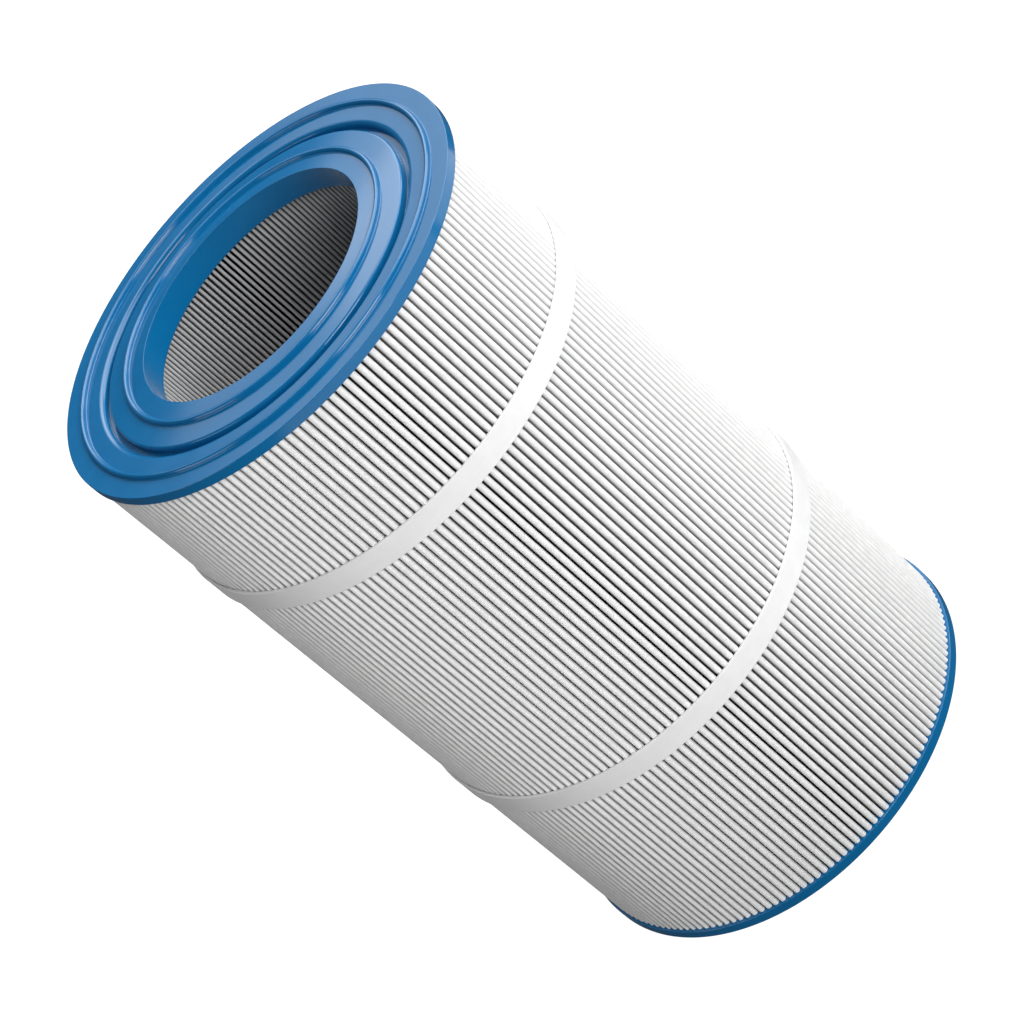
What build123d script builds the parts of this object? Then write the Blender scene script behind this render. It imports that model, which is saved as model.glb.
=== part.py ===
"""Pleated filter cartridge for a pool or spa filter.

A corrugated sheet of non-woven polyester stands between two moulded ring caps. Its ends are bonded
to the caps with rings of adhesive, its two edges are joined by one bonded seam, and two welded straps
hold the pleats at their pitch. There is no core tube: the bore is open from cap to cap.

Units are millimetres. The axis is +Z, and Z = 0 is the plane the cartridge stands on, which is the
crest of the lower cap's inner sealing rib. A cap's cross-section is written as (radius, height), with
the height measured outward from the flat face of that cap.
"""
from build123d import *
from math import acos, atan2, cos, degrees, hypot, radians, sin
import os

# ---------------------------------------------------------------- driving dimensions
cap_d = 227.0             # outer diameter of both end caps
body_h = 381.0            # between the flat faces of the two caps
bore_d = 128.0            # opening through each cap
pleat_count = 166
media_d = 224.2           # over the pleat tips
media_bore_d = 139.6      # inside the inner folds
media_t = 0.6             # thickness of the non-woven sheet
band_w = 12.3             # axial width of a strap
band_t = 1.35             # thickness of a strap
upper_band_drop = 81.2    # centre of the upper strap below the upper flat face
lower_band_drop = 255.7   # centre of the lower strap below the upper flat face

# end cap cross-section, the same for both caps
plate_t = 5.2             # flat face to the pleats
rim_edge_r = 0.3
outer_rib_r = 102.6       # radius at which the outer rib stands
inner_rib_r = 74.9        # radius at which the inner rib stands
rib_h = 2.1
rib_w = 2.5
rib_foot_r = 0.5          # fillet where a rib meets the plate
groove_in_r = 87.3
groove_in_edge_r = 1.3
groove_out_r = 90.6
groove_out_edge_r = 2.6
groove_depth = 4.0
bore_rise = 1.95          # the inner ring climbs this much from the groove to the bore
bore_edge_r = 0.15
collar_t = 3.8            # wall of the collar that lines the bore
collar_depth = 11.6       # from the flat face to the inner end of the collar
collar_edge_r = 0.6

# adhesive
bed_layer_t = 0.6         # layer between the plate and the pleat ends
bed_depth = 3.0           # depth of the adhesive in the corner beside the collar
bed_gap = 0.05            # between that corner of adhesive and the inner folds
bed_out_r = 104.0
bed_land = 1.5            # plate left bare on each side of the groove

# pleat shape
tip_gap = 0.95            # slot left between two neighbouring outer folds
fold_share = 0.58         # share of the inner pitch that an inner fold fills

# bonded seam and strap laps, all on the +Y side
seam_angle = 90.0
seam_t = 1.0
seam_w = 18.0             # radial width of the bonded seam
seam_mid_r = 91.0
lap_arc = 26.0            # length over which a strap's two ends overlap
lap_t = 0.6               # the outer end is pressed this thin where it is welded over the inner one

# ---------------------------------------------------------------- worked-out dimensions
cap_r = cap_d / 2
bore_r = bore_d / 2
collar_r = bore_r + collar_t
media_r = media_d / 2
media_bore_r = media_bore_d / 2
inner_slope = bore_rise / (groove_in_r - bore_r)


def inner_ring_height(r):
    """Height of the inner ring's conical face at radius r."""
    return (groove_in_r - r) * inner_slope


stand_h = inner_ring_height(inner_rib_r) + rib_h        # crest of the inner rib above the flat face
bottom_face_z = stand_h
top_face_z = stand_h + body_h
media_bottom_z = bottom_face_z + plate_t
media_top_z = top_face_z - plate_t
band_in_r = media_r + 0.05

pitch = radians(360 / pleat_count)
half_t = media_t / 2
tip_r = (media_r * pitch - tip_gap) / (2 + pitch) - half_t           # centreline, outer fold
tip_centre_r = media_r - tip_r - half_t
fold_centre_r = media_bore_r / (1 - fold_share * pitch / 2)
fold_r = fold_centre_r - media_bore_r - half_t                       # centreline, inner fold

os.makedirs("parts", exist_ok=True)


# ---------------------------------------------------------------- end caps
def rib_corners(r, base_height):
    """Four corners of a rib that stands on a face of the given height, from inside to outside."""
    half = rib_w / 2
    crest = base_height(r) + rib_h
    crown = half - 0.05
    return [
        (r - half, base_height(r - half), rib_foot_r),
        (r - half, crest, crown),
        (r + half, crest, crown),
        (r + half, base_height(r + half), rib_foot_r),
    ]


def cap_corners():
    """Corners of a cap's cross-section as (radius, height, rounding)."""
    bed_h = bed_layer_t - plate_t
    return [
        (bore_r, -collar_depth, collar_edge_r),
        (bore_r, bore_rise, bore_edge_r),
        *rib_corners(inner_rib_r, inner_ring_height),
        (groove_in_r, 0, groove_in_edge_r),
        (groove_in_r, -groove_depth, 0),
        (groove_out_r, -groove_depth, 0),
        (groove_out_r, 0, groove_out_edge_r),
        *rib_corners(outer_rib_r, lambda r: 0),
        (cap_r, 0, rim_edge_r),
        (cap_r, -plate_t, rim_edge_r),
        (bed_out_r, -plate_t, 0),
        (bed_out_r, bed_h, 0),
        (groove_out_r + bed_land, bed_h, 0),
        (groove_out_r + bed_land, -plate_t, 0),
        (groove_in_r - bed_land, -plate_t, 0),
        (groove_in_r - bed_land, bed_h, 0),
        (collar_r, bed_h, 0),
        (collar_r, -collar_depth, collar_edge_r),
    ]


def cap_outline(face_z, outward):
    """Edges of a cap's cross-section; outward is 1 for the upper cap and -1 for the lower one."""
    corners = cap_corners()
    with BuildLine() as outline:
        FilletPolyline(
            *[(r, face_z + outward * h) for r, h, _ in corners],
            radius=[rounding for _, _, rounding in corners],
            close=True,
        )
    return outline.edges()


with BuildPart() as top_cap:
    with BuildSketch(Plane.XZ):
        make_face(cap_outline(top_face_z, 1))
    revolve(axis=Axis.Z)

with BuildPart() as bottom_cap:
    with BuildSketch(Plane.XZ):
        make_face(cap_outline(bottom_face_z, -1))
    revolve(axis=Axis.Z)


# ---------------------------------------------------------------- pleated sheet
def polar(r, angle):
    """Point at radius r and the given angle in radians."""
    return (r * cos(angle), r * sin(angle))


def toward(point, r, angle):
    """Point at distance r from another point, in the direction of the given angle."""
    return (point[0] + r * cos(angle), point[1] + r * sin(angle))


def wall_normal(tip_angle, side):
    """Direction from an outer fold's centre to the wall on one side of it (side is 1 or -1)."""
    tip = polar(tip_centre_r, tip_angle)
    fold = polar(fold_centre_r, tip_angle + side * pitch / 2)
    dx, dy = fold[0] - tip[0], fold[1] - tip[1]
    return atan2(dy, dx) - side * acos((tip_r + fold_r) / hypot(dx, dy))


def pleat_curve(offset):
    """One pleat of one face of the sheet, from an outer fold to the next one round the axis."""
    outer, inner = tip_r + offset, fold_r - offset
    tip, next_tip = polar(tip_centre_r, 0), polar(tip_centre_r, pitch)
    fold = polar(fold_centre_r, pitch / 2)
    before, after = wall_normal(0, -1), wall_normal(0, 1)
    next_before = wall_normal(pitch, -1)
    tip_start, tip_end = toward(tip, outer, before), toward(tip, outer, after)
    fold_start, fold_end = toward(fold, -inner, after), toward(fold, -inner, next_before)
    with BuildLine() as pleat:
        ThreePointArc(tip_start, toward(tip, outer, 0), tip_end)
        Line(tip_end, fold_start)
        ThreePointArc(fold_start, toward(fold, -inner, pitch / 2), fold_end)
        Line(fold_end, toward(next_tip, outer, next_before))
    return pleat.line


def sheet_outline(offset):
    """Closed corrugated outline of one face of the sheet, offset outward from its centreline."""
    with BuildLine() as outline:
        with PolarLocations(0, pleat_count, start_angle=seam_angle):
            add(pleat_curve(offset))
    return outline.edges()


def seam_location():
    """Middle of the bonded seam, with its X axis along the pleat wall that holds it."""
    angle = radians(seam_angle)
    normal = wall_normal(angle, 1)
    wall_start = toward(polar(tip_centre_r, angle), tip_r, normal)
    wall_angle = normal + radians(90)
    centre = toward(wall_start, hypot(*wall_start) - seam_mid_r, wall_angle)
    return Location((*centre, 0), (0, 0, degrees(wall_angle)))


media_h = media_top_z - media_bottom_z

with BuildSketch(Plane.XY) as closed_sheet:
    make_face(sheet_outline(half_t))
    make_face(sheet_outline(-half_t), mode=Mode.SUBTRACT)

with BuildPart() as pleated_media:
    with BuildSketch(Plane.XY.offset(media_bottom_z)):
        add(closed_sheet.sketch)
        with Locations(seam_location()):
            Rectangle(seam_w, seam_t, mode=Mode.SUBTRACT)
    extrude(amount=media_h)

with BuildPart() as media_seam:
    with BuildSketch(Plane.XY.offset(media_bottom_z)):
        with Locations(seam_location()):
            Rectangle(seam_w, seam_t)
    extrude(amount=media_h)


# ---------------------------------------------------------------- adhesive
# Each cap holds two rings of adhesive, one on each side of the groove. The inner one also fills the
# corner between the collar and the inner folds.
def inner_adhesive_outline(media_end_z, outward):
    """Cross-section of an inner ring of adhesive; outward points from the pleats to the cap."""
    layer_z = media_end_z + outward * bed_layer_t
    corner_z = media_end_z - outward * bed_depth
    corner_r = media_bore_r - bed_gap
    with BuildLine() as outline:
        Polyline(
            (collar_r, layer_z),
            (groove_in_r - bed_land, layer_z),
            (groove_in_r - bed_land, media_end_z),
            (corner_r, media_end_z),
            (corner_r, corner_z),
            (collar_r, corner_z),
            close=True,
        )
    return outline.edges()


with BuildSketch(Plane.XY) as outer_adhesive_section:
    Circle(bed_out_r)
    Circle(groove_out_r + bed_land, mode=Mode.SUBTRACT)

with BuildPart() as top_outer_adhesive:
    with BuildSketch(Plane.XY.offset(media_top_z)):
        add(outer_adhesive_section.sketch)
    extrude(amount=bed_layer_t)

with BuildPart() as bottom_outer_adhesive:
    with BuildSketch(Plane.XY.offset(media_bottom_z - bed_layer_t)):
        add(outer_adhesive_section.sketch)
    extrude(amount=bed_layer_t)

with BuildPart() as top_inner_adhesive:
    with BuildSketch(Plane.XZ):
        make_face(inner_adhesive_outline(media_top_z, 1))
    revolve(axis=Axis.Z)

with BuildPart() as bottom_inner_adhesive:
    with BuildSketch(Plane.XZ):
        make_face(inner_adhesive_outline(media_bottom_z, -1))
    revolve(axis=Axis.Z)


# ---------------------------------------------------------------- straps
def band_plane(drop):
    """Plane through the lower edge of a strap whose centre is this far below the upper flat face."""
    return Plane.XY.offset(top_face_z - drop - band_w / 2)


with BuildSketch(Plane.XY) as band_section:
    Circle(band_in_r + band_t + lap_t)
    with Locations((0, band_in_r)):
        Rectangle(lap_arc, 10 * band_t, mode=Mode.INTERSECT)
    Circle(band_in_r + band_t)
    Circle(band_in_r, mode=Mode.SUBTRACT)

with BuildPart() as upper_band:
    with BuildSketch(band_plane(upper_band_drop)):
        add(band_section.sketch)
    extrude(amount=band_w)

with BuildPart() as lower_band:
    with BuildSketch(band_plane(lower_band_drop)):
        add(band_section.sketch)
    extrude(amount=band_w)


# ---------------------------------------------------------------- files
pieces = {
    "top_cap": top_cap,
    "bottom_cap": bottom_cap,
    "pleated_media": pleated_media,
    "media_seam": media_seam,
    "top_inner_adhesive": top_inner_adhesive,
    "top_outer_adhesive": top_outer_adhesive,
    "bottom_inner_adhesive": bottom_inner_adhesive,
    "bottom_outer_adhesive": bottom_outer_adhesive,
    "upper_band": upper_band,
    "lower_band": lower_band,
}
for name, piece in pieces.items():
    piece.part.label = name
    export_step(piece.part, f"parts/{name}.step")
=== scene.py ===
from math import acos, atan2, ceil, cos, hypot, pi, radians, sin, tan

import bmesh
import bpy
import numpy as np
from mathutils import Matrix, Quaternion, Vector


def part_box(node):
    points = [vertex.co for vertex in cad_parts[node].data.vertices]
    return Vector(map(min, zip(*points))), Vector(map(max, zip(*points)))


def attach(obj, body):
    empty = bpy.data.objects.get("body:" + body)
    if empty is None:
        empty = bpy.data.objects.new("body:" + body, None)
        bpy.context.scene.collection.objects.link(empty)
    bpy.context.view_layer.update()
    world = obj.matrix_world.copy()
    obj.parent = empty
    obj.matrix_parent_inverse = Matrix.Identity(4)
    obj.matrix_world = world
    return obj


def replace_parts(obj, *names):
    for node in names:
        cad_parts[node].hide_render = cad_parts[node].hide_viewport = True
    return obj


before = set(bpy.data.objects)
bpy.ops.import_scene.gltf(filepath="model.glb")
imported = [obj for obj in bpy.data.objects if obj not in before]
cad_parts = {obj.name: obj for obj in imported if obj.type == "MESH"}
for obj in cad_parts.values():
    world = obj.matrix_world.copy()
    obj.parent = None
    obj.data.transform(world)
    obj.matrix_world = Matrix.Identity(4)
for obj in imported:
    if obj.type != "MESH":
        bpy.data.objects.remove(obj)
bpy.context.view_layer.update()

# ---------------------------------------------------------------- the frame's own places, in metres
MM = 0.001
cap_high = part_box("top_cap")[1]
base_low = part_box("bottom_cap")[0]
media_low, media_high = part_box("pleated_media")
upper_low, upper_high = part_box("upper_band")
lower_low, lower_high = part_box("lower_band")

# ---------------------------------------------------------------- dimensions shared with the CAD part, in mm
CAP_R, BORE_R, PLATE_T = 113.5, 64.0, 5.2
OUTER_RIB_R, INNER_RIB_R = 102.6, 74.9
RIB_H, RIB_W, RIB_FOOT_R = 2.1, 2.5, 0.5
GROOVE_IN_R, GROOVE_OUT_R, GROOVE_DEPTH = 87.3, 90.6, 4.0
GROOVE_IN_EDGE_R, GROOVE_OUT_EDGE_R, GROOVE_FLOOR_R = 1.3, 2.6, 0.25
BORE_RISE = 1.95           # the inner ring climbs this much from the groove to the bore
BORE_EDGE_R, RIM_EDGE_R = 0.15, 0.3
COLLAR_R, COLLAR_DEPTH, COLLAR_EDGE_R = 67.8, 11.6, 0.6
BED_LAYER_T = 0.6          # adhesive between a cap's plate and the pleat ends
BED_LAND, BED_OUT_R = 1.5, 104.0

PLEATS = 166
MEDIA_R, FOLD_IN_R, SHEET_T = 112.1, 69.8, 0.6
TIP_GAP = 0.95             # slot left between two neighbouring outer folds
FOLD_SHARE = 0.58          # share of the inner pitch that an inner fold fills
SEAM_ANGLE, SEAM_W, SEAM_MID_R = radians(90), 18.0, 91.0
BAND_T = 1.35
LAP_T, LAP_ARC = 0.6, 26.0  # where a strap's outer end is pressed thin and welded over its start

# ---------------------------------------------------------------- visual choices, in mm
CROWN_FLAT = 0.04          # left between the two roundings of a rib's crown
SEAM_COVER = 1.0           # each edge of the sheet ends this far inside the seam

# unevenness of the pleats: swing and wavelength along the height
WANDER, FINE_WANDER = (0.006, 310), (0.002, 138)
SINK, FOLD_WANDER = (0.004, 170), (0.006, 240)
LEAN_SPREAD, LEAN_LIMIT = 0.003, 0.008

TIP_SHADE_DEPTH = 2.1      # painted slot shade on the outer folds fades from grey to white over this depth
FOLD_SHADE = 0.2, 1.2      # painted shade on the bore side darkens between these depths into its slots
BORE_SIDE_MARK = 0.05      # third component of the sheet's vector on its bore side, 0 on the other

STRAP_CLEARANCE = 0.05     # between the pleat tips and a strap
STRAP_IN_EDGE_R, STRAP_OUT_EDGE_R = 0.18, 0.3
LAP_CLEARANCE = 0.02       # between a strap's start and the end that covers it
LAP_RAMP_ARC = 9.0         # length over which that end climbs
WELD_AT = 2 * pi * (MEDIA_R + STRAP_CLEARANCE)  # along a strap, once round from the middle of its lap
WELD_HALF_ARC, WELD_HALF_W, WELD_FADE = 8.5, 4.4, 0.5
WELD_PITCH = 2.2           # from dot to dot


# ---------------------------------------------------------------- mesh helpers
def mesh_object(name, vertices, faces, material, sharp=40):
    """A smooth-shaded piece that rides on the cartridge's one body."""
    mesh = bpy.data.meshes.new(name)
    mesh.from_pydata(vertices, [], faces)
    mesh.update()
    work = bmesh.new()
    work.from_mesh(mesh)
    bmesh.ops.recalc_face_normals(work, faces=work.faces)
    work.to_mesh(mesh)
    work.free()
    mesh.shade_smooth()
    mesh.set_sharp_from_angle(angle=radians(sharp))
    mesh.materials.append(material)
    piece = bpy.data.objects.new(name, mesh)
    bpy.context.scene.collection.objects.link(piece)
    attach(piece, "root")
    return piece


def rounded(corners, step=radians(10)):
    """Points of a closed outline whose corners (x, y, radius) are rounded with arcs."""
    points = []
    for i, (x, y, radius) in enumerate(corners):
        here = Vector((x, y))
        back = (Vector(corners[i - 1][:2]) - here).normalized()
        ahead = (Vector(corners[(i + 1) % len(corners)][:2]) - here).normalized()
        half = back.angle(ahead) / 2
        if not radius:
            points.append((x, y))
            continue
        centre = here + (back + ahead).normalized() * (radius / sin(half))
        start = here + back * (radius / tan(half)) - centre
        end = here + ahead * (radius / tan(half)) - centre
        first = atan2(start.y, start.x)
        sweep = (atan2(end.y, end.x) - first + pi) % (2 * pi) - pi
        count = max(2, ceil(abs(sweep) / step))
        for k in range(count + 1):
            angle = first + sweep * k / count
            points.append((centre.x + radius * cos(angle), centre.y + radius * sin(angle)))
    return points


def tube_faces(ring, steps, rings):
    """Faces between neighbouring rings of points. The last ring joins the first if there are as many
    steps as rings."""
    faces = []
    for s in range(steps):
        here, there = s * ring, (s + 1) % rings * ring
        faces += [(here + i, here + (i + 1) % ring, there + (i + 1) % ring, there + i) for i in range(ring)]
    return faces


def weight_normals(piece, weight=50):
    """Lets large faces decide the shading of the roundings beside them."""
    weighted = piece.modifiers.new("weighted", "WEIGHTED_NORMAL")
    weighted.keep_sharp = True
    weighted.weight = weight


def store_vectors(piece, name, vectors):
    """Keeps one vector per vertex, for the piece's material to read."""
    attribute = piece.data.attributes.new(name, "FLOAT_VECTOR", "POINT")
    attribute.data.foreach_set("vector", np.ravel(vectors))


def lathe(name, outline, material, segments=384):
    """Turns a closed outline of (radius, z) points in mm around the Z axis."""
    vertices = []
    for s in range(segments):
        angle = 2 * pi * s / segments
        vertices += [(r * cos(angle) * MM, r * sin(angle) * MM, z * MM) for r, z in outline]
    piece = mesh_object(name, vertices, tube_faces(len(outline), segments, segments), material)
    weight_normals(piece, weight=80)
    return piece


# ---------------------------------------------------------------- node helpers
def new_material(name):
    material = bpy.data.materials.new(name)
    material.use_nodes = True
    tree = material.node_tree
    return material, tree, tree.nodes["Principled BSDF"]


def node(tree, kind, inputs=None, **settings):
    made = tree.nodes.new(kind)
    for key, value in settings.items():
        setattr(made, key, value)
    for key, value in (inputs or {}).items():
        if isinstance(value, bpy.types.NodeSocket):
            tree.links.new(value, made.inputs[key])
        else:
            made.inputs[key].default_value = value
    return made


def scaled(tree, vector, scale, turn=0.0):
    """The vector turned by an angle about Z and then scaled."""
    turned = node(tree, "ShaderNodeMapping", {"Vector": vector, "Rotation": (0, 0, turn)})
    return node(tree, "ShaderNodeMapping", {"Vector": turned.outputs[0], "Scale": scale}).outputs[0]


def noise(tree, vector, scale=1.0, detail=2.0, roughness=0.5):
    inputs = {"Vector": vector, "Scale": scale, "Detail": detail, "Roughness": roughness}
    return node(tree, "ShaderNodeTexNoise", inputs).outputs[0]


def ramp(tree, value, low, high, out_low=0.0, out_high=1.0):
    made = node(
        tree, "ShaderNodeMapRange",
        {"Value": value, "From Min": low, "From Max": high, "To Min": out_low, "To Max": out_high},
        interpolation_type="SMOOTHSTEP",
    )
    return made.outputs[0]


def spread(tree, value, out_low=0.0, out_high=1.0):
    """A noise value, which mostly stays between 0.3 and 0.7, stretched over another range."""
    return ramp(tree, value, 0.3, 0.7, out_low, out_high)


def maths(tree, operation, first, second=0.0):
    return node(tree, "ShaderNodeMath", {0: first, 1: second}, operation=operation).outputs[0]


def weighted_sum(tree, *terms):
    """Sum of (value, weight) pairs."""
    products = [maths(tree, "MULTIPLY", value, weight) for value, weight in terms]
    total = products[0]
    for product in products[1:]:
        total = maths(tree, "ADD", total, product)
    return total


def blend(tree, factor, first, second):
    """Colour mix of two colours (r, g, b) or sockets. The node's inputs 0, 6 and 7 are its factor and
    its two colours."""
    made = node(tree, "ShaderNodeMix", data_type="RGBA")
    for index, value in ((6, first), (7, second)):
        if isinstance(value, bpy.types.NodeSocket):
            tree.links.new(value, made.inputs[index])
        else:
            made.inputs[index].default_value = (*value, 1)
    tree.links.new(factor, made.inputs[0])
    return made.outputs[2]


def bump(tree, height, distance, strength, normal=None):
    inputs = {"Height": height, "Distance": distance, "Strength": strength}
    if normal is not None:
        inputs["Normal"] = normal
    return node(tree, "ShaderNodeBump", inputs).outputs[0]


def object_coordinates(tree):
    return node(tree, "ShaderNodeTexCoord").outputs["Object"]


# ---------------------------------------------------------------- materials
def cap_plastic():
    """Glossy moulded plastic with a faint cloudiness in its pigment and a fine mould texture."""
    material, tree, surface = new_material("cap_plastic")
    place = object_coordinates(tree)
    cloud = noise(tree, place, 34, 4, 0.6)
    fine = noise(tree, place, 900, 3, 0.6)
    pigment = blend(tree, spread(tree, cloud), (0.0022, 0.114, 0.285), (0.0032, 0.123, 0.305))
    tree.links.new(pigment, surface.inputs["Base Color"])
    rough = maths(tree, "ADD", spread(tree, cloud, 0.12, 0.14), spread(tree, fine, 0.0, 0.02))
    tree.links.new(rough, surface.inputs["Roughness"])
    soft = bump(tree, noise(tree, place, 40, 2, 0.5), 0.00003, 0.4)
    grain = bump(tree, fine, 0.000006, 0.6, soft)
    tree.links.new(grain, surface.inputs["Normal"])
    surface.inputs["IOR"].default_value = 1.5
    return material


def fibres(tree, sheet, turns, across=3400, along=240):
    """Random fibres lying in several directions of the flat sheet, 0 to 1."""
    total = None
    for i, turn in enumerate(turns):
        wavy = maths(tree, "MULTIPLY", noise(tree, sheet, 160), 0.004 + 0.001 * i)
        sway = node(tree, "ShaderNodeCombineXYZ", {0: wavy}).outputs[0]
        shifted = node(tree, "ShaderNodeVectorMath", {0: sheet, 1: sway}, operation="ADD").outputs[0]
        strand = noise(tree, scaled(tree, shifted, (along, across, 1), turn), 1.0, 2, 0.55)
        line = ramp(tree, maths(tree, "ABSOLUTE", maths(tree, "SUBTRACT", strand, 0.5)), 0.09, 0.0)
        total = line if total is None else maths(tree, "MAXIMUM", total, line)
    return total


def media_polyester():
    """Spun-bonded polyester: matte white sheet of pressed fibres with uneven cover, and painted shade that
    greys the slots between the pleats and the whole bore side."""
    material, tree, surface = new_material("media_polyester")
    sheet = node(tree, "ShaderNodeAttribute", attribute_name="sheet").outputs["Vector"]
    strands = fibres(tree, sheet, turns=(0.35, 1.25, 2.2, 2.9))
    cover = noise(tree, sheet, 210, 3, 0.6)
    speckle = noise(tree, sheet, 1900, 2, 0.6)
    tone = weighted_sum(tree, (spread(tree, cover), 0.35), (strands, 0.3), (spread(tree, speckle), 0.35))
    x, y = node(tree, "ShaderNodeSeparateXYZ", {0: object_coordinates(tree)}).outputs[:2]
    reach = maths(tree, "SQRT", maths(tree, "ADD", maths(tree, "POWER", x, 2), maths(tree, "POWER", y, 2)))
    # painted shade: the outer side is grey (0.42) deep in the slots and fades to its white tone towards the
    # pleat tips
    tip = ramp(tree, reach, (MEDIA_R - TIP_SHADE_DEPTH) * MM, MEDIA_R * MM)
    outside = blend(tree, tone, (0.7, 0.7, 0.705), (0.89, 0.89, 0.885))
    outside = blend(tree, tip, (0.42, 0.42, 0.42), outside)
    # painted shade: the whole bore side is mid grey and darkens further into its slots
    slot = ramp(tree, reach, *((FOLD_IN_R + depth) * MM for depth in FOLD_SHADE))
    painted_bore_shade = blend(tree, tone, (0.44, 0.44, 0.445), (0.56, 0.56, 0.56))
    painted_bore_shade = blend(tree, slot, painted_bore_shade, (0.16, 0.16, 0.16))
    side = node(tree, "ShaderNodeSeparateXYZ", {0: sheet}).outputs[2]
    on_bore_side = maths(tree, "GREATER_THAN", side, BORE_SIDE_MARK / 2)
    tree.links.new(blend(tree, on_bore_side, outside, painted_bore_shade), surface.inputs["Base Color"])
    tree.links.new(ramp(tree, strands, 0, 1, 0.85, 0.7), surface.inputs["Roughness"])
    relief = weighted_sum(tree, (strands, 0.6), (speckle, 0.4))
    tree.links.new(bump(tree, relief, 0.00012, 0.8), surface.inputs["Normal"])
    surface.inputs["Specular IOR Level"].default_value = 0.25
    surface.inputs["Sheen Weight"].default_value = 0.12
    surface.inputs["Sheen Roughness"].default_value = 0.5
    return material


def strap_tape():
    """Smooth white strap of dense pressed fibre, with faint lengthwise drawing lines and the dotted
    print of the weld where its ends overlap."""
    material, tree, surface = new_material("strap_tape")
    strip = node(tree, "ShaderNodeAttribute", attribute_name="strip").outputs["Vector"]
    drawn = noise(tree, scaled(tree, strip, (60, 2600, 1)), 1.0, 3, 0.55)
    cloud = noise(tree, strip, 130, 3, 0.55)
    grain = noise(tree, strip, 2400, 2, 0.6)
    tone = weighted_sum(tree, (spread(tree, cloud), 0.5), (spread(tree, drawn), 0.5))
    along, across = node(tree, "ShaderNodeSeparateXYZ", {0: strip}).outputs[:2]
    beside_weld = maths(tree, "ABSOLUTE", maths(tree, "SUBTRACT", along, WELD_AT * MM))
    beside_middle = maths(tree, "ABSOLUTE", across)
    weld = maths(
        tree, "MULTIPLY",
        ramp(tree, beside_weld, WELD_HALF_ARC * MM, (WELD_HALF_ARC - WELD_FADE) * MM),
        ramp(tree, beside_middle, WELD_HALF_W * MM, (WELD_HALF_W - WELD_FADE) * MM),
    )
    turns = 2 * pi / (WELD_PITCH * MM)
    waves = [maths(tree, "SINE", maths(tree, "MULTIPLY", place, turns)) for place in (along, across)]
    dots = ramp(tree, maths(tree, "MULTIPLY", *waves), 0.0, 0.6)
    weld_print = maths(tree, "MULTIPLY", weld, dots)
    colour = blend(tree, tone, (0.72, 0.72, 0.725), (0.77, 0.77, 0.77))
    colour = blend(tree, maths(tree, "MULTIPLY", weld_print, 0.5), colour, (0.5, 0.5, 0.51))
    tree.links.new(colour, surface.inputs["Base Color"])
    tree.links.new(spread(tree, grain, 0.48, 0.62), surface.inputs["Roughness"])
    relief = weighted_sum(tree, (drawn, 0.5), (grain, 0.5))
    pressed = bump(tree, maths(tree, "SUBTRACT", 1.0, weld_print), 0.0002, 0.8)
    tree.links.new(bump(tree, relief, 0.00002, 0.5, pressed), surface.inputs["Normal"])
    surface.inputs["Specular IOR Level"].default_value = 0.35
    return material


def adhesive_resin():
    """Cured potting adhesive: uneven, semi-gloss, slightly bubbled."""
    material, tree, surface = new_material("adhesive_resin")
    place = object_coordinates(tree)
    cloud = noise(tree, place, 180, 4, 0.6)
    bubbles = node(tree, "ShaderNodeTexVoronoi", {"Vector": place, "Scale": 420}).outputs["Distance"]
    colour = blend(tree, spread(tree, cloud), (0.04, 0.17, 0.36), (0.07, 0.23, 0.46))
    tree.links.new(colour, surface.inputs["Base Color"])
    tree.links.new(spread(tree, cloud, 0.4, 0.6), surface.inputs["Roughness"])
    pits = ramp(tree, bubbles, 0.05, 0.2)
    tree.links.new(bump(tree, maths(tree, "ADD", pits, cloud), 0.0002, 0.6), surface.inputs["Normal"])
    return material


plastic = cap_plastic()
polyester = media_polyester()
tape = strap_tape()
resin = adhesive_resin()


# ---------------------------------------------------------------- end caps
inner_slope = BORE_RISE / (GROOVE_IN_R - BORE_R)


def inner_ring_height(r):
    return (GROOVE_IN_R - r) * inner_slope


def rib_corners(r, base_height):
    half = RIB_W / 2
    crest = base_height(r) + RIB_H
    crown = half - CROWN_FLAT / 2
    return [
        (r - half, base_height(r - half), RIB_FOOT_R),
        (r - half, crest, crown),
        (r + half, crest, crown),
        (r + half, base_height(r + half), RIB_FOOT_R),
    ]


def cap_corners():
    """Cross-section of a cap as (radius, height above its flat face, rounding)."""
    bed_h = BED_LAYER_T - PLATE_T
    return [
        (BORE_R, -COLLAR_DEPTH, COLLAR_EDGE_R),
        (BORE_R, BORE_RISE, BORE_EDGE_R),
        *rib_corners(INNER_RIB_R, inner_ring_height),
        (GROOVE_IN_R, 0, GROOVE_IN_EDGE_R),
        (GROOVE_IN_R, -GROOVE_DEPTH, GROOVE_FLOOR_R),
        (GROOVE_OUT_R, -GROOVE_DEPTH, GROOVE_FLOOR_R),
        (GROOVE_OUT_R, 0, GROOVE_OUT_EDGE_R),
        *rib_corners(OUTER_RIB_R, lambda r: 0),
        (CAP_R, 0, RIM_EDGE_R),
        (CAP_R, -PLATE_T, RIM_EDGE_R),
        (BED_OUT_R, -PLATE_T, 0),
        (BED_OUT_R, bed_h, 0),
        (GROOVE_OUT_R + BED_LAND, bed_h, 0),
        (GROOVE_OUT_R + BED_LAND, -PLATE_T, 0),
        (GROOVE_IN_R - BED_LAND, -PLATE_T, 0),
        (GROOVE_IN_R - BED_LAND, bed_h, 0),
        (COLLAR_R, bed_h, 0),
        (COLLAR_R, -COLLAR_DEPTH, COLLAR_EDGE_R),
    ]


stand_h = inner_ring_height(INNER_RIB_R) + RIB_H  # crest of the inner rib above the flat face
for name, face_z, outward in (
    ("top_cap", cap_high.z / MM - stand_h, 1),
    ("bottom_cap", base_low.z / MM + stand_h, -1),
):
    outline = rounded([(r, face_z + outward * h, rounding) for r, h, rounding in cap_corners()])
    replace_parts(lathe(name + "_moulding", outline, plastic), name)


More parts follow.
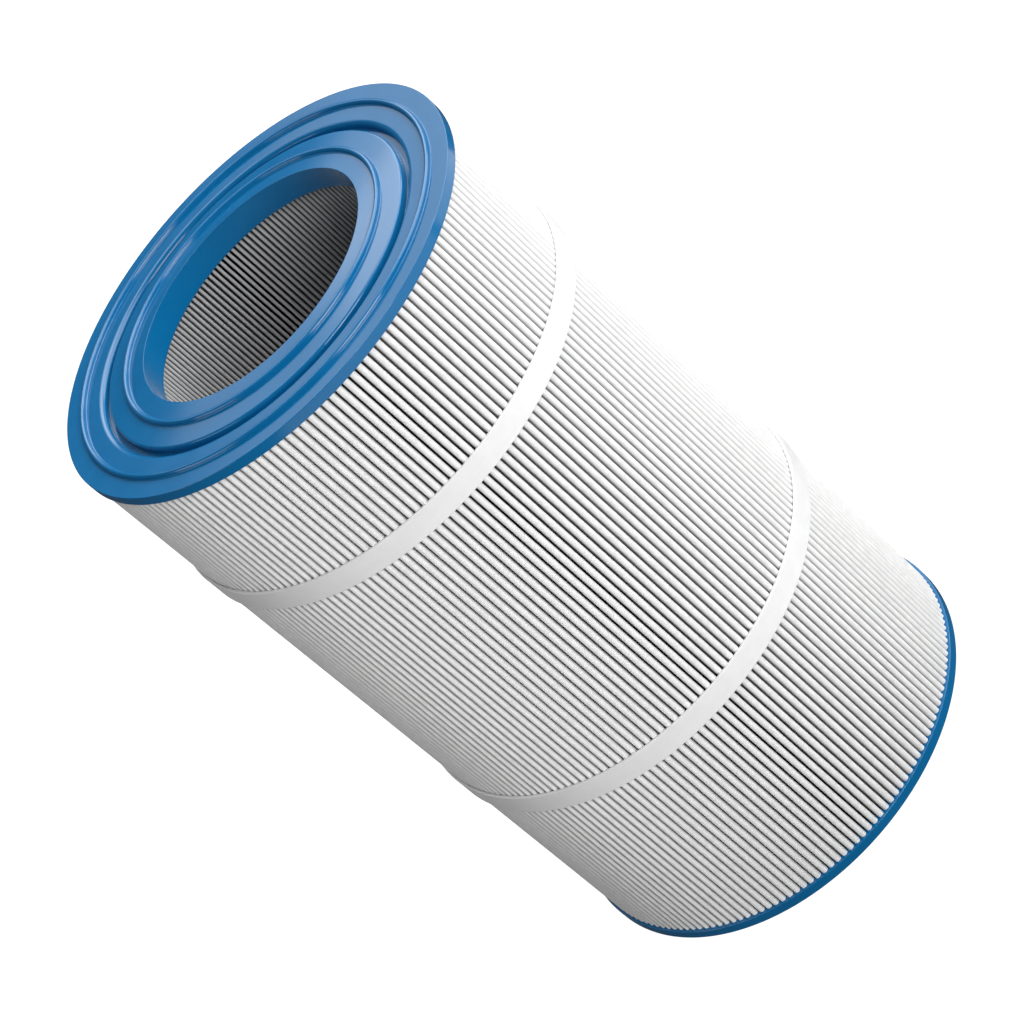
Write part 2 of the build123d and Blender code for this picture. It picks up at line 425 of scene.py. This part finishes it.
# ---------------------------------------------------------------- pleated sheet
pitch = 2 * pi / PLEATS
tip_r = (MEDIA_R * pitch - TIP_GAP) / (2 + pitch) - SHEET_T / 2
tip_centre_r = MEDIA_R - tip_r - SHEET_T / 2
fold_centre_r = FOLD_IN_R / (1 - FOLD_SHARE * pitch / 2)
fold_r = fold_centre_r - FOLD_IN_R - SHEET_T / 2


def polar(r, angle):
    return np.array((r * cos(angle), r * sin(angle)))


def wall_normal(tip_angle, side):
    """Direction from an outer fold's centre to the wall on one side of it (side is 1 or -1)."""
    dx, dy = polar(fold_centre_r, tip_angle + side * pitch / 2) - polar(tip_centre_r, tip_angle)
    return atan2(dy, dx) - side * acos((tip_r + fold_r) / hypot(dx, dy))


def sheet_path(tip_steps=12, fold_steps=6, shoulder=2.5):
    """Centreline of the corrugated sheet from one side of its seam all the way round to the other.

    Each flat wall has a point near its outer fold, a shoulder away. Returns points, outward normals, the
    pleat that each point belongs to and the developed length."""
    points, normals, pleat_of = [], [], []

    def put(point, normal, pleat):
        points.append(point)
        normals.append(normal)
        pleat_of.append(pleat)

    def wall(angle, side, distance, pleat):
        """A point on the wall beside an outer fold, at a distance from where the fold ends."""
        normal = wall_normal(angle, side)
        along = normal + side * pi / 2
        out = polar(1, normal)
        put(polar(tip_centre_r, angle) + out * tip_r + polar(1, along) * distance, out, pleat)

    first_normal = wall_normal(SEAM_ANGLE, 1)
    seam_at = hypot(*(polar(tip_centre_r, SEAM_ANGLE) + polar(tip_r, first_normal))) - SEAM_MID_R
    seam_reach = SEAM_W / 2 - SEAM_COVER
    wall(SEAM_ANGLE, 1, seam_at + seam_reach, 0)
    for k in range(PLEATS):
        angle = SEAM_ANGLE + k * pitch
        fold_angle = angle + pitch / 2
        first, last = wall_normal(angle, 1) + pi, wall_normal(angle + pitch, -1) + pi
        for j in range(fold_steps + 1):
            turn = first + ((last - first + pi) % (2 * pi) - pi - 2 * pi) % (-2 * pi) * j / fold_steps
            out = polar(1, turn)
            put(polar(fold_centre_r, fold_angle) + out * fold_r, -out, k)
        wall(angle + pitch, -1, shoulder, k + 1)
        first, last = wall_normal(angle + pitch, -1), wall_normal(angle + pitch, 1)
        for j in range(tip_steps + 1):
            turn = first + (last - first) % (2 * pi) * j / tip_steps
            out = polar(1, turn)
            put(polar(tip_centre_r, angle + pitch) + out * tip_r, out, k + 1)
        wall(angle + pitch, 1, shoulder if k < PLEATS - 1 else seam_at - seam_reach, k + 1)
    points, normals = np.array(points), np.array(normals)
    lengths = np.concatenate(([0], np.cumsum(np.hypot(*np.diff(points, axis=0).T))))
    return points, normals, np.array(pleat_of), lengths


def pleated_sheet(levels=20):
    """The corrugated sheet in stacked levels, with a faint wander and lean that differ between pleats."""
    points, normals, pleat_of, lengths = sheet_path()
    count = len(points)
    heights = np.linspace(media_low.z, media_high.z, levels + 1) / MM
    rng = np.random.default_rng(11)
    phase = rng.uniform(0, 2 * pi, (4, PLEATS + 1))
    lean = rng.normal(0, LEAN_SPREAD, PLEATS + 1).clip(-LEAN_LIMIT, LEAN_LIMIT)[pleat_of]
    radii = np.hypot(*points.T)
    depth = ((radii - FOLD_IN_R) / (MEDIA_R - FOLD_IN_R)).clip(0, 1)
    sideways = np.stack((-points[:, 1], points[:, 0]), 1) / radii[:, None]
    outward = points / radii[:, None]

    def wave(number, z, swing, wavelength):
        """A sine along the height whose phase differs between pleats, at every point of the path."""
        return swing * np.sin(2 * pi * z / wavelength + phase[number])[pleat_of]

    outer, inner = [], []
    for z in heights:
        held = sin(pi * (z - heights[0]) / (heights[-1] - heights[0]))  # 0 where a cap holds the sheet
        wander = (wave(0, z, *WANDER) + wave(1, z, *FINE_WANDER) + lean) * depth * held
        sink = -(SINK[0] + wave(2, z, *SINK)) * depth * held
        inside = wave(3, z, *FOLD_WANDER) * (1 - depth) * held
        middle = points + sideways * (wander + inside)[:, None] + outward * sink[:, None]
        outer.append(np.column_stack((middle + normals * SHEET_T / 2, np.full(count, z))))
        inner.append(np.column_stack((middle - normals * SHEET_T / 2, np.full(count, z))))
    layers = levels + 1
    half_count = layers * count
    vertices = np.concatenate(outer + inner) * MM
    grid = np.arange(half_count).reshape(layers, count)
    front = np.stack((grid[:-1, :-1], grid[:-1, 1:], grid[1:, 1:], grid[1:, :-1]), -1).reshape(-1, 4)
    back = front[:, ::-1] + half_count

    def edge(first, second):
        """Faces that close the sheet's thickness along one edge."""
        return np.stack((first, second, second + half_count, first + half_count), -1)

    edges = [
        edge(grid[0, 1:], grid[0, :-1]), edge(grid[-1, :-1], grid[-1, 1:]),
        edge(grid[1:, 0], grid[:-1, 0]), edge(grid[:-1, -1], grid[1:, -1]),
    ]
    faces = np.concatenate([front, back, *edges])
    piece = mesh_object("pleated_sheet", vertices.tolist(), faces.tolist(), polyester, sharp=60)
    flat = np.zeros((2 * half_count, 3))
    flat[:, 0] = np.tile(lengths, 2 * layers) * MM
    flat[:, 1] = np.tile(np.repeat(heights, count), 2) * MM
    flat[half_count:, 2] = BORE_SIDE_MARK
    store_vectors(piece, "sheet", flat)
    return piece


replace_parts(pleated_sheet(), "pleated_media")


# ---------------------------------------------------------------- straps
def strap(name, low_z, high_z, segments=540):
    """A strap wound once round the pleat tips, its free end ramped up over its start and welded."""
    inner = MEDIA_R + STRAP_CLEARANCE
    half_lap = LAP_ARC / 2 / inner
    ramp_arc = LAP_RAMP_ARC / inner
    start, end = SEAM_ANGLE - half_lap, SEAM_ANGLE + 2 * pi + half_lap
    lap_start = SEAM_ANGLE + 2 * pi - half_lap
    half_w = (high_z - low_z) / 2 / MM
    middle_z = (high_z + low_z) / 2 / MM
    section = rounded([
        (-BAND_T / 2, -half_w, STRAP_IN_EDGE_R), (BAND_T / 2, -half_w, STRAP_OUT_EDGE_R),
        (BAND_T / 2, half_w, STRAP_OUT_EDGE_R), (-BAND_T / 2, half_w, STRAP_IN_EDGE_R),
    ], step=radians(20))
    ring = len(section)
    vertices, flat = [], []
    for s in range(segments + 1):
        angle = start + (end - start) * s / segments
        climb = min(1, max(0, (angle - lap_start + ramp_arc) / ramp_arc))
        lift = climb * climb * (3 - 2 * climb)  # starts and ends gently
        thickness = BAND_T + (LAP_T - BAND_T) * lift
        for across, z in section:
            r = inner + (BAND_T + LAP_CLEARANCE) * lift + (across / BAND_T + 0.5) * thickness
            vertices.append((r * cos(angle) * MM, r * sin(angle) * MM, (middle_z + z) * MM))
            flat.append(((angle - SEAM_ANGLE) * inner * MM, z * MM, across * MM))
    faces = tube_faces(ring, segments, segments + 1)
    faces += [tuple(range(ring)), tuple(segments * ring + i for i in reversed(range(ring)))]
    piece = mesh_object(name, vertices, faces, tape)
    store_vectors(piece, "strip", flat)
    weight_normals(piece)
    return piece


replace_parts(strap("upper_strap", upper_low.z, upper_high.z), "upper_band")
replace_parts(strap("lower_strap", lower_low.z, lower_high.z), "lower_band")

# ---------------------------------------------------------------- CAD nodes that keep their shape
for name, material in (
    ("media_seam", polyester),
    ("top_inner_adhesive", resin), ("top_outer_adhesive", resin),
    ("bottom_inner_adhesive", resin), ("bottom_outer_adhesive", resin),
):
    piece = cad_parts[name]
    piece.data.materials.clear()
    piece.data.materials.append(material)


# ---------------------------------------------------------------- floor, lights and camera
scene = bpy.context.scene
scene.view_settings.view_transform = "Standard"


def floor_material():
    material, tree, surface = new_material("studio_floor")
    surface.inputs["Base Color"].default_value = (0.2, 0.2, 0.2, 1)
    surface.inputs["Roughness"].default_value = 1
    surface.inputs["Specular IOR Level"].default_value = 0
    surface.inputs["Emission Color"].default_value = (1, 1, 1, 1)
    surface.inputs["Emission Strength"].default_value = 1.0
    return material


floor_half, floor_z = 9.0, -0.0002  # in metres, just below the cartridge
floor_mesh = bpy.data.meshes.new("studio_floor")
floor_mesh.from_pydata(
    [(x * floor_half, y * floor_half, floor_z) for x, y in ((-1, -1), (1, -1), (1, 1), (-1, 1))],
    [], [(0, 1, 2, 3)],
)
floor_mesh.materials.append(floor_material())
floor = bpy.data.objects.new("studio_floor", floor_mesh)
scene.collection.objects.link(floor)
floor.visible_diffuse = False
floor.visible_glossy = False

world = bpy.data.worlds.new("studio")
scene.world = world
world.use_nodes = True
sky = world.node_tree
# the backdrop is white to the camera but adds only a little light
seen = node(sky, "ShaderNodeLightPath").outputs["Is Camera Ray"]
strength = node(sky, "ShaderNodeMapRange", {"Value": seen, "To Min": 0.06, "To Max": 1.05}).outputs[0]
background = sky.nodes["Background"]
sky.links.new(strength, background.inputs["Strength"])
background.inputs["Color"].default_value = (1, 1, 1, 1)


def area_light(name, size, radiance):
    """A rectangular light of even radiance, hidden from the camera."""
    light = bpy.data.lights.new(name, "AREA")
    light.shape = "RECTANGLE"
    light.size, light.size_y = size
    light.energy = radiance * pi * size[0] * size[1]
    lamp = bpy.data.objects.new(name, light)
    lamp.visible_camera = False
    scene.collection.objects.link(lamp)
    return lamp


def softbox(name, azimuth, elevation, distance, size, radiance, roll=0.0, shift=0.0, target_z=0.2):
    """A soft light that faces the cartridge.

    Azimuth 0 is the near side (-Y) and 90 is +X. Roll turns the light's own upward side clockwise as the
    cartridge sees it, and shift moves the light towards that side."""
    lamp = area_light(name, size, radiance)
    around, up = radians(azimuth), radians(elevation)
    toward = Vector((sin(around) * cos(up), -cos(around) * cos(up), sin(up)))
    turn = toward.to_track_quat("Z", "Y") @ Quaternion((0, 0, 1), radians(roll))
    lamp.rotation_mode = "QUATERNION"
    lamp.rotation_quaternion = turn
    lamp.location = Vector((0, 0, target_z)) + toward * distance + turn @ Vector((0, shift, 0))
    return lamp


def floor_panel(name, place, size, radiance):
    """A soft light lying on the floor and facing up."""
    lamp = area_light(name, size, radiance)
    lamp.location = (*place, 0.001)
    lamp.rotation_euler = (pi, 0, 0)


# azimuth, elevation, distance, size and radiance
softbox("key", 95, 40, 3.6, (3.6, 3.6), 3.8)
softbox("front", 20, 22, 3.6, (1.95, 1.95), 9.8)
softbox("fill", -80, 8, 3.9, (2.4, 2.4), 2.75)
softbox("bridge", 140, 33, 2.4, (1.6, 2.2), 1.0)
softbox("window", 180, 35, 2.2, (2.6, 1.6), 1.1, roll=32.9, shift=0.516, target_z=0.383)
softbox("window_core", 180, 35, 2.15, (1.8, 1.4), 2.2, roll=56.4, shift=0.855, target_z=0.383)
rear = softbox("rear", 192, 6, 4.0, (3.0, 1.8), 5.0)
rear.visible_glossy = False

# place, size and radiance
floor_panel("bounce", (0.4, -0.82), (1.8, 1.1), 0.8)
floor_panel("side_bounce", (0.86, 0.1), (0.5, 0.6), 1.4)

camera = bpy.data.objects.new("camera", bpy.data.cameras.new("camera"))
camera.data.sensor_width = 36
camera.data.lens = 120.8
camera.location = (-0.0008, -1.3677, 1.0587)
camera.rotation_euler = (radians(46.583), radians(39.591), radians(-31.158))
camera.data.clip_start = 0.05
camera.data.clip_end = 100
scene.collection.objects.link(camera)
scene.camera = camera

bpy.context.view_layer.update()
